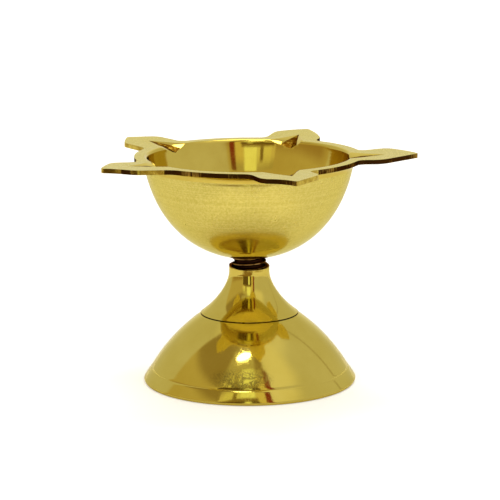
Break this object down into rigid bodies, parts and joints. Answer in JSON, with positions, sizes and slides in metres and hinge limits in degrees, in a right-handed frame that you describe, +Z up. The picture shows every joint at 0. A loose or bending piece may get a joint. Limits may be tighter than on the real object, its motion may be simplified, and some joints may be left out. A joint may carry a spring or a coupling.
{
  "type": "oil lamp",
  "caption": "Small brass oil lamp: a round bowl with spade-shaped wick spouts around its rim, screwed by a short threaded stud onto a trumpet neck and hollow bell foot.",
  "frame": {"origin": "on the surface the lamp stands on, under the middle of the bounding box of the star-shaped rim, 4.4 mm from the lamp's turning axis", "axes": "+Z up, +X along one wick spout away from the turning axis, +Y across it; looking along +Y shows the side in the picture"},
  "size_m": [0.084, 0.0882, 0.0639],
  "materials": {
    "turned_brass": "turned and buffed to a mirror, lacquered",
    "star_brass": "cast, turned and buffed to a fine satin outside, polished inside, with raw dark sawn edges",
    "stud_brass": "cut thread, tarnished dark brown"
  },
  "bodies": {
    "stand": {"stand_foot": "turned_brass", "stand_neck": "turned_brass"},
    "stud": {"screw_stud": "stud_brass"},
    "bowl": {"star_bowl": "star_brass"}
  },
  "joints": [
    {"name": "stud_lift", "type": "slide", "parent": "stand", "child": "stud", "axis": [0, 0, 1], "range_m": [0, 0.006]},
    {"name": "bowl_turn", "type": "hinge", "parent": "stud", "child": "bowl", "pos_m": [-0.00442, 0, 0.0346], "axis": [0, 0, 1], "range_deg": [0, 1440]}
  ],
  "couplings": [
    {"joint": "stud_lift", "follows": "bowl_turn", "m_per_rad": 0.00023873}
  ]
}
